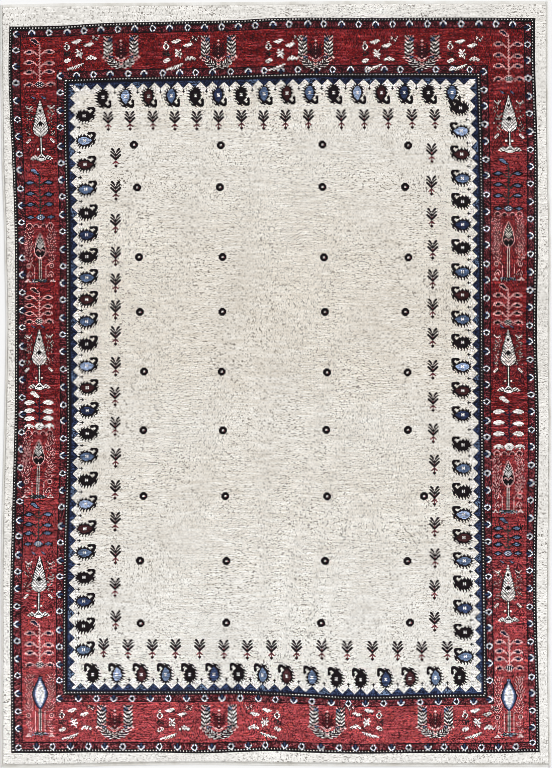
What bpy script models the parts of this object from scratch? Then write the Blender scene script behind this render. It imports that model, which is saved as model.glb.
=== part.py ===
"""A hand-knotted wool rug of about 1.7 x 2.4 m, lying flat on the floor.

The rug is one cloth: a slab of short pile, with a narrow flat-woven strip left at
each end where the weaver began and finished. Each long side is closed by a round
cord, which is wrapped in wool and sewn along the outermost warps.

No side of such a rug is straight. The two tables below give how far each edge draws
in from the rug's full size, and every piece follows them.

Metres, +Z up. The origin is on the floor under the middle of the rug, and +Y points
to the end where the knotting finished.
"""

import math

import bmesh
import bpy
import numpy as np

# Driving dimensions, in metres
WIDTH = 1.722               # full width, over both side cords
LENGTH = 2.396              # full length, over both flat-woven ends
PILE_HEIGHT = 0.010         # foundation and pile together
PILE_ROUNDING = 0.004       # the pile leans outwards and rounds off at its rim
WEB_HEIGHT = 0.003          # the flat-woven ends
WEB_DEPTH = 0.010           # how far they stand out past the pile
WEB_STEP = 0.001            # run of the step from the web up to the pile
SIDE_CORD = 0.007           # diameter of the wrapped cords
GAP = 0.0003                # clearance between the rug and its cords
WAVE = 0.0004               # how much the pile's surface rises and falls
WAVE_LENGTH_X = 0.61
WAVE_LENGTH_Y = 0.83

# How many steps each stretch of the surface is made in
RIM_STEPS = 3
COLUMNS = 22
ROWS = 36

# How far the long sides draw in, in millimetres, against the place along the rug
SIDE_DRAW_IN = {
    "y":     (-1200, -800, -560, -410, -250, -100,   60,  215,  370,  530,  685,  890, 1200),
    "left":  (    2,    3,    3,    5,    9,   13,   16,   18,   15,   12,    6,    3,    0),
    "right": (    0,    5,    4,    2,    1,    0,    2,    2,    0,    2,    6,    8,    9),
}

# How far the two ends draw in, in millimetres, against the place across the rug
END_DRAW_IN = {
    "x":   (-861, -674, -455, -237,   76,  388,  861),
    "far": (  12,    8,    6,    5,    2,    0,    1),
    "near": (  0,    1,    6,    8,    5,    3,    2),
}


def read_table(table, place, column, at):
    """Value of a table's column at one place, eased smoothly from row to row."""
    places = np.asarray(table[place], dtype=float) / 1000
    values = np.asarray(table[column], dtype=float) / 1000
    at = min(max(at, places[0]), places[-1])
    row = min(int(np.searchsorted(places, at, side="right")) - 1, len(places) - 2)
    slopes = np.gradient(values, places)
    step = places[row + 1] - places[row]
    t = (at - places[row]) / step
    start = (2 * t**3 - 3 * t**2 + 1) * values[row] + (t**3 - 2 * t**2 + t) * step * slopes[row]
    end = (3 * t**2 - 2 * t**3) * values[row + 1] + (t**3 - t**2) * step * slopes[row + 1]
    return float(start + end)


def lie(x, y):
    """Where a point of the ideal rectangle lies on the real, drawn-in rug."""
    across = (x + WIDTH / 2) / WIDTH
    along = (y + LENGTH / 2) / LENGTH
    left = read_table(SIDE_DRAW_IN, "y", "left", y)
    right = read_table(SIDE_DRAW_IN, "y", "right", y)
    far = read_table(END_DRAW_IN, "x", "far", x)
    near = read_table(END_DRAW_IN, "x", "near", x)
    return x + left * (1 - across) - right * across, y + near * (1 - along) - far * along


def rim_offsets():
    """Distances in from the rim at which the pile's rounding has a point."""
    angles = np.linspace(0, math.pi / 2, RIM_STEPS + 1)
    return [PILE_ROUNDING * (1 - math.cos(angle)) for angle in angles]


def row_stations():
    """Places along the rug, from the near end to the far end."""
    half = LENGTH / 2
    pile = half - WEB_DEPTH
    near = [-half, -pile - WEB_STEP] + [-pile + offset for offset in rim_offsets()]
    inner = pile - PILE_ROUNDING
    middle = list(np.linspace(-inner, inner, ROWS + 1)[1:-1])
    return near + middle + [-place for place in reversed(near)]


def column_stations():
    """Places across the rug's cloth, between the two side cords."""
    side = WIDTH / 2 - SIDE_CORD - GAP
    left = [-side + offset for offset in rim_offsets()]
    inner = side - PILE_ROUNDING
    middle = list(np.linspace(-inner, inner, COLUMNS + 1)[1:-1])
    return left + middle + [-place for place in reversed(left)]


def rounded(height, inset):
    """Height at a distance in from a rim that is rounded off at the top."""
    drop = max(PILE_ROUNDING - inset, 0.0)
    return height - PILE_ROUNDING + math.sqrt(PILE_ROUNDING**2 - drop**2)


def surface_height(x, y):
    """Height of the cloth's upper face over a point of the ideal rectangle."""
    end_inset = LENGTH / 2 - WEB_DEPTH - abs(y)
    if end_inset < 0:
        return WEB_HEIGHT
    side_inset = WIDTH / 2 - SIDE_CORD - GAP - abs(x)
    wave = math.sin(math.tau * x / WAVE_LENGTH_X + y) * math.cos(math.tau * y / WAVE_LENGTH_Y + x)
    inset = min(side_inset, end_inset, PILE_ROUNDING)
    return rounded(PILE_HEIGHT - WAVE + WAVE * wave, inset)


def make_material(name, colour, roughness):
    """A plain wool finish."""
    material = bpy.data.materials.new(name)
    material.use_nodes = True
    shader = material.node_tree.nodes["Principled BSDF"]
    shader.inputs["Base Color"].default_value = (*colour, 1.0)
    shader.inputs["Roughness"].default_value = roughness
    shader.inputs["Metallic"].default_value = 0.0
    material.diffuse_color = (*colour, 1.0)
    return material


def make_cloth(collection):
    """The knotted cloth: one sheet of cells, thickened down to the flat floor."""
    columns = column_stations()
    rows = row_stations()
    mesh = bpy.data.meshes.new("knotted_rug")
    bm = bmesh.new()
    bmesh.ops.create_grid(bm, x_segments=len(columns) - 1, y_segments=len(rows) - 1, size=1.0)
    places = {}
    for vert in bm.verts:
        column = round((vert.co.x + 1) / 2 * (len(columns) - 1))
        row = round((vert.co.y + 1) / 2 * (len(rows) - 1))
        places[vert] = (columns[column], rows[row])
    for vert, (x, y) in places.items():
        vert.co = (*lie(x, y), surface_height(x, y))
    sheet = bmesh.ops.extrude_face_region(bm, geom=bm.faces[:])
    for item in sheet["geom"]:
        if isinstance(item, bmesh.types.BMVert):
            item.co.z = 0.0
    bmesh.ops.recalc_face_normals(bm, faces=bm.faces[:])
    bm.to_mesh(mesh)
    bm.free()
    cloth = bpy.data.objects.new("knotted_rug", mesh)
    collection.objects.link(cloth)
    cloth.data.materials.append(make_material("knotted_wool", (0.42, 0.25, 0.22), 0.95))
    return cloth


def make_side_cord(collection, name, side):
    """A wrapped cord along one long side, lying on the floor beside the cloth."""
    radius = SIDE_CORD / 2
    rows = row_stations()
    curve = bpy.data.curves.new(name, "CURVE")
    curve.dimensions = "3D"
    curve.bevel_depth = radius
    curve.bevel_resolution = 2
    curve.use_fill_caps = True
    spline = curve.splines.new("POLY")
    spline.points.add(len(rows) - 1)
    for point, y in zip(spline.points, rows):
        point.co = (*lie(side * (WIDTH / 2 - radius), y), radius, 1.0)
    cord = bpy.data.objects.new(name, curve)
    collection.objects.link(cord)
    cord.data.materials.append(make_material(name + "_wool", (0.80, 0.77, 0.70), 0.9))
    return cord


def main():
    for thing in list(bpy.data.objects):
        bpy.data.objects.remove(thing, do_unlink=True)
    collection = bpy.data.collections.new("gabbeh_rug")
    bpy.context.scene.collection.children.link(collection)
    make_cloth(collection)
    make_side_cord(collection, "side_cord_left", -1)
    make_side_cord(collection, "side_cord_right", 1)


main()
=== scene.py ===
# %% [markdown]
# # A hand-knotted wool rug
#
# The real rug is woven on a loom, knot by knot, in rows. Each knot is one dot of colour,
# about 3 mm across, so the whole design is a chart of coloured squares. This lesson does
# the same: it weaves a chart from small motifs, lays it on a mesh that wanders
# as the real rug's edges do, and lets the material read it back.

# %% Load the solid model
import math

import bpy
import numpy as np
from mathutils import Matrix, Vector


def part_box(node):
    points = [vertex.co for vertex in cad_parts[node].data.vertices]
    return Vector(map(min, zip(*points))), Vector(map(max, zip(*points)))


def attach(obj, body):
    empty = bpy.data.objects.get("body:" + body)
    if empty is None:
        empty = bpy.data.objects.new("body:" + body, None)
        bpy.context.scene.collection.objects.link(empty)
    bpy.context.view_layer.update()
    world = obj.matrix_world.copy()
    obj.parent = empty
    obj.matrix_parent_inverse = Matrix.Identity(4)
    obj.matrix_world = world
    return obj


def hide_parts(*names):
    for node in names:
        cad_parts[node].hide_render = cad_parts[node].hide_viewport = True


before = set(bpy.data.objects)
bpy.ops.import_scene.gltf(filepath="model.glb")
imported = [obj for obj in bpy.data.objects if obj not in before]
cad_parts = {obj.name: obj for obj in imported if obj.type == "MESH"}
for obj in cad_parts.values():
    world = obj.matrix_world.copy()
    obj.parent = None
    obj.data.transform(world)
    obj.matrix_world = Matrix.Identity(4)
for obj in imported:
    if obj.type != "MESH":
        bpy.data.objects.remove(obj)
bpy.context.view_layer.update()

cloth_low, cloth_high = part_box("knotted_rug")
print("cloth box", [round(value, 4) for value in (*cloth_low, *cloth_high)])

# %% [markdown]
# ## The knot grid
#
# All places on the rug are counted in knots: columns from the left side and rows from the
# far end. One knot is 3.125 mm each way, so the rug is about 551 columns wide and 767 rows
# long, and the chart has 552 by 768, which four divides. The origin of the model is under
# the middle of the rug.

# %% Knots and metres
KNOT = 0.003125
COLUMNS = 552
ROWS = 768
MIDDLE_COLUMN = 275.5
MIDDLE_ROW = 384.0
SIDE_CORD = 0.007
SIDE_GAP = 0.0003
WEB_DEPTH = 0.010
HALF_WIDTH = 0.861
HALF_LENGTH = 1.198
PILE_TOP = 0.010
PILE_ROUNDING = 0.004

CLOTH_LEFT = MIDDLE_COLUMN - (HALF_WIDTH - SIDE_CORD - SIDE_GAP) / KNOT
CLOTH_RIGHT = MIDDLE_COLUMN + (HALF_WIDTH - SIDE_CORD - SIDE_GAP) / KNOT
RUG_FAR = MIDDLE_ROW - HALF_LENGTH / KNOT
RUG_NEAR = MIDDLE_ROW + HALF_LENGTH / KNOT
PILE_FAR = RUG_FAR + WEB_DEPTH / KNOT
PILE_NEAR = RUG_NEAR - WEB_DEPTH / KNOT
print("pile from row", round(PILE_FAR, 2), "to row", round(PILE_NEAR, 2))

# %% [markdown]
# ## A rug is never straight
#
# Tension changes as a rug grows on the loom, so its sides and stripes wander. Two tables
# say how far the edges draw in (the solid model has the same ones), and two more say how
# far the outer stripe and the inner line of the border stray, in knots. Everything between
# them is moved along in proportion.

# %% The tables of the wandering edges and stripes
SIDE_DRAW_IN = {
    "y":     (-1200, -800, -560, -410, -250, -100,   60,  215,  370,  530,  685,  890, 1200),
    "left":  (    2,    3,    3,    5,    9,   13,   16,   18,   15,   12,    6,    3,    0),
    "right": (    0,    5,    4,    2,    1,    0,    2,    2,    0,    2,    6,    8,    9),
}
END_DRAW_IN = {
    "x":    (-861, -674, -455, -237,   76,  388,  861),
    "far":  (  12,    8,    6,    5,    2,    0,    1),
    "near": (   0,    1,    6,    8,    5,    3,    2),
}
SIDE_STRAY = {
    "row":          (  20,   65,  100,  150,  200,  250,  330,  420,  480,  540,  600,  690,  750),
    "left_stripe":  (-1.0, -2.0, -0.8,  2.0,  4.0,  5.0,  5.0,  4.6,  3.0,  1.4, -0.4,  0.6,  1.4),
    "left_line":    (-0.5,  0.0, -0.4,  0.3,  1.8,  2.4,  2.2,  2.9,  2.0,  0.0, -1.0, -1.2, -1.2),
    "right_line":   (-2.5, -3.0, -2.3, -0.9,  0.0,  0.0,  0.0,  0.3,  0.8,  1.6,  2.4,  3.4,  3.2),
    "right_stripe": (-3.0, -2.8, -1.6,  0.0,  0.0,  0.0, -1.0,  1.0,  0.5, -1.0, -1.3,  1.2,  2.0),
}
END_STRAY = {
    "column":      (  25,   65,   90,  115,  160,  200,  240,  270,  310,  345,  430,  490,  530),
    "far_stripe":  ( 9.0,  8.0,  6.2,  5.0,  4.0,  3.0,  2.0,  0.2, -0.6, -0.2, -0.5, -0.5,  0.0),
    "far_line":    ( 6.5,  5.2,  4.3,  3.5,  2.6,  1.9,  1.1,  0.1, -1.0, -1.0, -1.2, -0.8, -0.5),
    "near_line":   ( 0.0,  0.0,  0.0,  0.0,  0.0, -0.2, -0.4,  1.0,  3.0,  5.2,  3.6,  2.8,  2.5),
    "near_stripe": ( 0.0,  0.0, -0.4,  0.0,  0.0,  1.0, -0.6, -1.8,  0.0,  1.0,  0.2,  0.5, -0.6),
}
SIDE_STRAY_COLUMNS = (3, 11, 62, 485, 537, 548)
END_STRAY_ROWS = (4, 19, 72, 695, 751, 764)
SEARCH_STEPS = 6


def eased(places, values, at):
    """A table's column at each place asked for, eased smoothly from row to row."""
    places = np.asarray(places, dtype=float)
    values = np.asarray(values, dtype=float)
    at = np.clip(np.asarray(at, dtype=float), places[0], places[-1])
    row = np.clip(np.searchsorted(places, at, side="right") - 1, 0, len(places) - 2)
    slopes = np.gradient(values, places)
    step = places[row + 1] - places[row]
    t = (at - places[row]) / step
    start = (2 * t**3 - 3 * t**2 + 1) * values[row] + (t**3 - 2 * t**2 + t) * step * slopes[row]
    end = (3 * t**2 - 2 * t**3) * values[row + 1] + (t**3 - t**2) * step * slopes[row + 1]
    return start + end


# %% [markdown]
# The function below says where a knot of the ideal chart comes to lie on the real rug. It
# works on whole arrays of knots, because there are many thousands of them.

# %% Where a knot comes to lie
def between(stations, shifts, at):
    """Shift at each place, in straight steps between stations that each have their own array of shifts."""
    result = np.array(shifts[0], dtype=float)
    for start, end, low, high in zip(stations, stations[1:], shifts, shifts[1:]):
        share = np.clip((at - start) / (end - start), 0, 1)
        result = np.where(at > start, low + (high - low) * share, result)
    return result


def strayed(columns, rows):
    """Columns and rows where the knots really lie, for those of the ideal chart."""
    columns = np.asarray(columns, dtype=float)
    rows = np.asarray(rows, dtype=float)
    y = (MIDDLE_ROW - rows) * KNOT * 1000
    x = (columns - MIDDLE_COLUMN) * KNOT * 1000
    millimetre = 0.001 / KNOT
    sideways = [
        eased(SIDE_DRAW_IN["y"], SIDE_DRAW_IN["left"], y) * millimetre,
        eased(SIDE_STRAY["row"], SIDE_STRAY["left_stripe"], rows),
        eased(SIDE_STRAY["row"], SIDE_STRAY["left_line"], rows),
        eased(SIDE_STRAY["row"], SIDE_STRAY["right_line"], rows),
        eased(SIDE_STRAY["row"], SIDE_STRAY["right_stripe"], rows),
        -eased(SIDE_DRAW_IN["y"], SIDE_DRAW_IN["right"], y) * millimetre,
    ]
    endways = [
        eased(END_DRAW_IN["x"], END_DRAW_IN["far"], x) * millimetre,
        eased(END_STRAY["column"], END_STRAY["far_stripe"], columns),
        eased(END_STRAY["column"], END_STRAY["far_line"], columns),
        eased(END_STRAY["column"], END_STRAY["near_line"], columns),
        eased(END_STRAY["column"], END_STRAY["near_stripe"], columns),
        -eased(END_DRAW_IN["x"], END_DRAW_IN["near"], x) * millimetre,
    ]
    across = columns + between(SIDE_STRAY_COLUMNS, sideways, columns)
    along = rows + between(END_STRAY_ROWS, endways, rows)
    return across, along


def knot_under(column, row):
    """The knot of the ideal chart that comes to lie at a place on the real rug."""
    ideal = np.array([column, row], dtype=float)
    for _ in range(SEARCH_STEPS):
        across, along = strayed(ideal[0], ideal[1])
        ideal += (column - float(across), row - float(along))
    return int(round(ideal[0])), int(round(ideal[1]))


def to_metres(across, along):
    """Model coordinates of a place counted in knots."""
    return (across - MIDDLE_COLUMN) * KNOT, (MIDDLE_ROW - along) * KNOT


print("knot under the middle", knot_under(276, 384))

# %% [markdown]
# ## The yarns
#
# Sixteen dyed yarns make the rug. Each has two lots, because wool was dyed as it was
# needed: the weaver began at the near end with paler lots, and the deep ones follow at the
# far end. Dyers call the bands this leaves abrash. A letter stands for each yarn in the
# motif charts.

# %% Yarn colours
YARNS = {
    "letter": "CTWPRMNDLKGSEYOB",
    "deep": (
        (228, 219, 205), (234, 230, 223), (232, 226, 222), (206, 146, 144),
        (106, 12, 17), (60, 12, 20), (11, 13, 30), (30, 38, 68),
        (140, 158, 190), (14, 6, 10), (74, 92, 124), (112, 44, 52),
        (34, 44, 42), (168, 158, 152), (158, 40, 30), (54, 20, 22),
    ),
    "pale": (
        (246, 244, 239), (254, 252, 248), (250, 248, 248), (238, 188, 188),
        (182, 76, 82), (110, 32, 40), (22, 27, 52), (60, 76, 114),
        (172, 188, 222), (20, 10, 16), (114, 134, 166), (168, 88, 94),
        (46, 54, 54), (200, 194, 192), (214, 88, 76), (74, 38, 42),
    ),
}
YARN = {letter: index for index, letter in enumerate(YARNS["letter"])}
EMPTY = "."


def linear(colour):
    """A colour of 0 to 255 steps, as light for Blender's shaders."""
    shares = [value / 255 for value in colour]
    return [s / 12.92 if s <= 0.04045 else ((s + 0.055) / 1.055) ** 2.4 for s in shares]


chart = np.full((ROWS, COLUMNS), YARN["T"], dtype=np.uint8)
dice = np.random.default_rng(14)
print("chart of", chart.shape, "knots in", len(YARN), "yarns")

# %% [markdown]
# ## Stamping motifs
#
# A motif is a few rows of letters, one for each knot, with a full stop where the ground
# shows through. The same motif can be turned, mirrored or worked in another yarn.

# %% Helpers that stamp a motif on the chart
def turned(motif, quarter_turns=0, mirrored=False):
    """A motif turned anticlockwise by quarter turns, and mirrored left to right first if asked."""
    width = max(len(line) for line in motif)
    grid = np.array([list(line.ljust(width, EMPTY)) for line in motif])
    if mirrored:
        grid = grid[:, ::-1]
    return ["".join(line) for line in np.rot90(grid, quarter_turns)]


def stamp(motif, column, row, swap=None):
    """Knot a motif with its middle at an ideal column and row."""
    height = len(motif)
    width = max(len(line) for line in motif)
    first_row = row - height // 2
    first_column = column - width // 2
    for down, line in enumerate(motif):
        for along, letter in enumerate(line):
            if swap:
                letter = swap.get(letter, letter)
            r = first_row + down
            c = first_column + along
            if letter != EMPTY and 0 <= r < ROWS and 0 <= c < COLUMNS:
                chart[r, c] = YARN[letter]


def stamp_at(motif, column, row, swap=None):
    """Knot a motif where it comes to lie at a place on the real rug."""
    stamp(motif, *knot_under(column, row), swap)


def fill(rows, columns, letter):
    """Knot a plain rectangle, given its first and last row and column."""
    chart[rows[0]:rows[1] + 1, columns[0]:columns[1] + 1] = YARN[letter]


def scatter(rows, columns, letters, share, over=YARNS["letter"]):
    """Knot single knots of other yarns here and there in a rectangle, over some yarns or all."""
    block = chart[rows[0]:rows[1] + 1, columns[0]:columns[1] + 1]
    draws = dice.random(block.shape)
    picks = dice.integers(0, len(letters), block.shape)
    codes = np.array([YARN[letter] for letter in letters], dtype=np.uint8)
    covered = np.isin(block, [YARN[letter] for letter in over])
    block[:] = np.where((draws < share) & covered, codes[picks], block)


# %% [markdown]
# ## Bands of the border
#
# From the outside in, the border is a plain cream band, a black and white barber-pole
# stripe, a narrow guard band of small flowers, the wide red main band, a second guard band
# and stripe, and a blue toothed edge round the cream field. They are laid as rectangles,
# the largest first, so each covers the middle of the one before.

# %% Lay the border's grounds
BANDS = {
    "name":  ("stripe", "guard", "line", "main", "line", "guard", "line", "stripe", "teeth", "field"),
    "left":  (10, 14, 21, 22, 57, 58, 64, 65, 68, 76),
    "right": (537, 533, 527, 526, 490, 489, 483, 482, 479, 471),
    "far":   (18, 22, 28, 29, 66, 67, 74, 75, 78, 86),
    "near":  (752, 748, 742, 741, 701, 700, 694, 693, 690, 682),
    "yarn":  "KMKRKMKKDC",
}
for left, right, far, near, yarn in zip(*(BANDS[key] for key in ("left", "right", "far", "near", "yarn"))):
    fill((far, near), (left, right), yarn)

OUTER_GUARD = {"left": (14, 20), "right": (528, 533), "far": (22, 27), "near": (743, 748)}
INNER_GUARD = {"left": (58, 63), "right": (484, 489), "far": (67, 73), "near": (695, 700)}
MAIN_BAND = {"left": (22, 56), "right": (491, 526), "far": (29, 65), "near": (702, 741)}


def fleck_ring(band, letters, share):
    """Scatter single knots in a ring-shaped band, leaving what lies inside it."""
    columns = (*band["left"], *band["right"])
    rows = (*band["far"], *band["near"])
    kept = chart.copy()
    scatter((rows[0], rows[3]), (columns[0], columns[3]), letters, share)
    inside = (slice(rows[1] + 1, rows[2]), slice(columns[1] + 1, columns[2]))
    chart[inside] = kept[inside]


fleck_ring(OUTER_GUARD, "SSKKB", 0.60)
fleck_ring(INNER_GUARD, "SSKKB", 0.60)
fleck_ring(MAIN_BAND, "MMKSOB", 0.34)
print("grounds laid in", len(BANDS["name"]), "bands")

# %% [markdown]
# The barber-pole stripe is knotted by moving the light knot one place along in every row,
# which gives slanting dashes. Each dash is a white knot with a blue-grey one beside it, on
# a dark ground.

# %% Knot the barber-pole stripes
DASH_YARNS = "WE"
DASH_PITCH = 3
POLES = (
    ((11, 12), (19, 751), 1), ((535, 536), (19, 751), -1),
    ((11, 536), (19, 20), 1), ((11, 536), (750, 751), -1),
    ((65, 66), (75, 693), 1), ((481, 482), (75, 693), -1),
    ((65, 482), (75, 76), 1), ((65, 482), (692, 693), -1),
)


def barber_pole(columns, rows, letters, slant):
    """Slanting dashes along a straight stripe, with one letter for each line of knots in it."""
    upright = rows[1] - rows[0] > columns[1] - columns[0]
    start, end = rows if upright else columns
    first = columns[0] if upright else rows[0]
    for across, letter in enumerate(letters):
        for along in range(start, end + 1):
            if (along + slant * across) % DASH_PITCH == 0:
                spot = (along, first + across) if upright else (first + across, along)
                chart[spot] = YARN[letter]


for columns, rows, slant in POLES:
    barber_pole(columns, rows, DASH_YARNS, slant)
print("stripes", len(POLES))

# %% [markdown]
# ## Small flowers of the guard bands
#
# Two flowers take turns: a closed ring of petals, and one that is open towards the field.
# They stand about seventeen knots apart.

# %% Knot the guard flowers
RING_FLOWER = (
    "..WWL..",
    ".LWNWW.",
    ".WNKNWL",
    "LWKKKNW",
    ".WNKNL.",
    ".LWNWW.",
    "..W.L..",
)
OPEN_FLOWER = (
    "..LWW..",
    ".WWNWL.",
    "LWNNNWW",
    "WLNDNLW",
    "WKNDNKL",
    ".KNDNK.",
    "..NDN..",
)
FLOWER_PITCH = 17.4
FLOWER_STRAY = 0.8
SIDE_FLOWERS = ((24, 746, OUTER_GUARD), (70, 698, INNER_GUARD))
END_FLOWERS = ((32, 515, OUTER_GUARD), (76, 472, INNER_GUARD))


def flower_row(start, end, across, upright, turns):
    """Flowers in turn along one guard band; turns point the open flower at the field."""
    count = round((end - start) / FLOWER_PITCH)
    for number in range(count + 1):
        along = start + (end - start) * number / count + dice.uniform(-FLOWER_STRAY, FLOWER_STRAY)
        motif = turned(RING_FLOWER if number % 2 else OPEN_FLOWER, turns)
        column, row = (across, along) if upright else (along, across)
        stamp(motif, int(round(column)), int(round(row)))


for low, high, bands in SIDE_FLOWERS:
    flower_row(low, high, sum(bands["left"]) / 2, True, 1)
    flower_row(low + 2, high - 3, sum(bands["right"]) / 2, True, 3)
for low, high, bands in END_FLOWERS:
    flower_row(low, high, sum(bands["far"]) / 2, False, 0)
    flower_row(low + 3, high - 2, sum(bands["near"]) / 2, False, 2)

# %% [markdown]
# ## The toothed edge, the paisleys and the plants of the field
#
# Botehs, the shapes that became paisley, lie along all four sides of the field with their
# roots on the tips of the blue teeth. Between two botehs a tooth ends in a small bud. The
# weaver spaced them by eye, so a short table gives the places of a few, and those between
# are spread evenly.

# %% Places of the botehs, plants and rosettes, in knots on the real rug
BOTEH_PLACES = {
    "left":  ((0, 4, 8, 12, 16, 20, 23), (114.8, 212.5, 298.6, 387.2, 479, 576.3, 649.6)),
    "right": ((0, 4, 8, 12, 13, 14, 20, 23), (111.6, 204.2, 296.3, 391, 414.6, 444.6, 581.4, 653.5)),
    "far":   ((0, 8, 15), (102.7, 286.3, 451.5)),
    "near":  ((0, 8, 15), (91.8, 286.3, 459.1)),
}
PLANT_PLACES = {
    "left":  ((0, 3, 6, 9, 12, 15), (158, 257, 336.5, 426.4, 521.5, 620)),
    "right": ((0, 3, 6, 9, 12, 15), (153, 250, 338, 434, 527, 621.5)),
    "far":   ((0, 9, 10, 14), (107.5, 307.4, 340.5, 434.9)),
    "near":  ((0, 7, 14), (103.3, 271, 447)),
}
ROSETTES = {
    "row":     (145, 187, 257, 312, 372, 430, 496, 561, 623),
    "first":   (134, 137, 139, 140, 144, 143, 143, 140, 141),
    "second":  (221, 220, 223, 222, 222, 223, 225, 226, 226),
    "third":   (322, 322, 324, 325, 327, 326, 327, 325, 321),
    "fourth":  (408, 405, 408, 405, 408, 408, 424, 407, 410),
}


def spread(places):
    """The place of every motif of a row, from the few that the table gives."""
    numbers, stations = places
    return np.interp(np.arange(numbers[-1] + 1), numbers, stations)


# %% Knot the blue toothed edge
TOOTH_REACHES = (5.6, 5.0, 4.4, 3.6, 2.7, 1.7, 0.7)
TOOTH_FOOT = {"left": 69, "right": 478, "far": 79, "near": 689}
BUD = (".K.", "KKK", ".K.")
TOOTH_BANDS = {
    "left": ((80, 688), (69, 76)), "right": ((80, 688), (471, 478)),
    "far": ((79, 86), (70, 477)), "near": ((682, 689), (70, 477)),
}
FIELD_LIMITS = {"left": (84, 686), "right": (84, 686), "far": (74, 474), "near": (74, 474)}
CORNER_ROWS = ((79, 83), (685, 689))
CORNER_COLUMNS = ((69, 73), (474, 478))
NOTCH_STRIPS = (
    ((70, 79), (80, 688)), ((468, 477), (80, 688)),
    ((70, 477), (80, 89)), ((70, 477), (679, 688)),
)


def tooth(side, place, yarn):
    """One stepped tooth that stands on the blue band, with a dark edge."""
    anchor = {"left": (70, place), "right": (477, place), "far": (place, 80), "near": (place, 688)}[side]
    column, row = knot_under(*anchor)
    for depth, reach in enumerate(TOOTH_REACHES):
        for offset in range(-int(reach), int(reach) + 1):
            edge = abs(offset) > reach - 1.1 and depth > 1
            along = TOOTH_FOOT[side] + (depth if side in ("left", "far") else -depth)
            spot = (row + offset, along) if side in ("left", "right") else (along, column + offset)
            chart[spot] = YARN["N" if edge else yarn]


fill((80, 688), (70, 477), "C")
for rows in CORNER_ROWS:
    for columns in CORNER_COLUMNS:
        fill(rows, columns, "D")
for columns, rows in NOTCH_STRIPS:
    scatter(rows, columns, "WWT", 0.5)
for side, places in BOTEH_PLACES.items():
    botehs = spread(places)
    step = float(np.diff(botehs).mean()) / 2
    low, high = FIELD_LIMITS[side]
    before = np.arange(botehs[0] - step, low, -step)
    after = np.arange(botehs[-1] + step, high, step)
    tips = sorted([*botehs, *(botehs[:-1] + np.diff(botehs) / 2), *before, *after])
    for number, tip in enumerate(tips):
        tooth(side, tip, "D" if number % 5 else "G")
    scatter(*TOOTH_BANDS[side], "N", 0.40, over="DG")
for row in (78, 690):
    fill((row, row), (68, 479), "N")
for column in (68, 479):
    fill((78, 690), (column, column), "N")
print("teeth on", len(BOTEH_PLACES), "sides")

# %% [markdown]
# The boteh is charted once, lying with its root at the left and its curl at the right. It
# is mirrored for the right side, and turned for the two ends.

# %% Knot the botehs
BOTEH = (
    "............KKKKKKK.",
    "...........KKKKKKKKK",
    ".....K..K...KKK.KKKK",
    "..K.KK.KKK.K.....KKK",
    "..KKKKKKKKKKK...KKKK",
    "K.KKKFFFFFFKKK.KKKK.",
    "KKKFFFFFFFFFFKKKKKK.",
    ".KFFFFFWFWFFFFFKKK.K",
    "KKFFFFFWWWFFFFFFKKKK",
    "KKFFFFFWFWFFFFFKKKK.",
    ".KKFFFFFFFFFFFKKKKK.",
    "KK.KFFFFFFFFFKKK.KK.",
    "..KKKKFFFFKKKKK.KK..",
    "..K.KKKKKKKKKK.K....",
    "...KK.KK.KK.KK.K....",
    "...K..K..K..K.......",
    "......K..K..........",
)
BOTEH_TURNS = {"left": (0, False), "right": (0, True), "far": (3, False), "near": (1, False)}
DARK_FILLS = "KBKKBKBK"
BLUE_FILLS = "LGDGGLDG"
DARK_NEAR_BOTEHS = (0, 2, 4, 6, 8, 10, 11, 13, 15)
END_LEVELS = {"far": 97, "near": 675}
STRIPE_EDGE = {"left": 67, "right": 480, "far": 77, "near": 691}
BOTEH_DISTANCE = {"left": 19, "right": 19, "far": 18, "near": 18}
BUD_DISTANCE = 12
STALK_DISTANCE = 10


def beside(side, place, distance):
    """Column and row of a motif that stands a distance in from the inner stripe."""
    across = STRIPE_EDGE[side] + (distance if side in ("left", "far") else -distance)
    return (across, place) if side in ("left", "right") else (place, across)


def knot_along(side, place):
    """Place along one side of the field, as a knot of the ideal chart."""
    if side in END_LEVELS:
        return knot_under(place, END_LEVELS[side])[0]
    return knot_under(100, place)[1]


for side, places in BOTEH_PLACES.items():
    motif = turned(BOTEH, *BOTEH_TURNS[side])
    botehs = spread(places)
    for number, place in enumerate(botehs):
        dark = number in DARK_NEAR_BOTEHS if side == "near" else number % 2 == 0
        fills = DARK_FILLS if dark else BLUE_FILLS
        yarn = fills[number // 2 % len(fills)]
        stamp(motif, *beside(side, knot_along(side, place), BOTEH_DISTANCE[side]), {"F": yarn})
    for place in botehs[:-1] + np.diff(botehs) / 2:
        along = knot_along(side, place)
        stamp(BUD, *beside(side, along, BUD_DISTANCE))
        column, row = beside(side, along, STALK_DISTANCE)
        chart[row, column] = YARN["K"]
print("botehs", sum(places[0][-1] + 1 for places in BOTEH_PLACES.values()))

# %% [markdown]
# Rows of small plants, like arrows stuck in the ground, follow inside the botehs. All of
# them stand upright as the weaver saw them. Four columns of rosettes fill the field.

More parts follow.
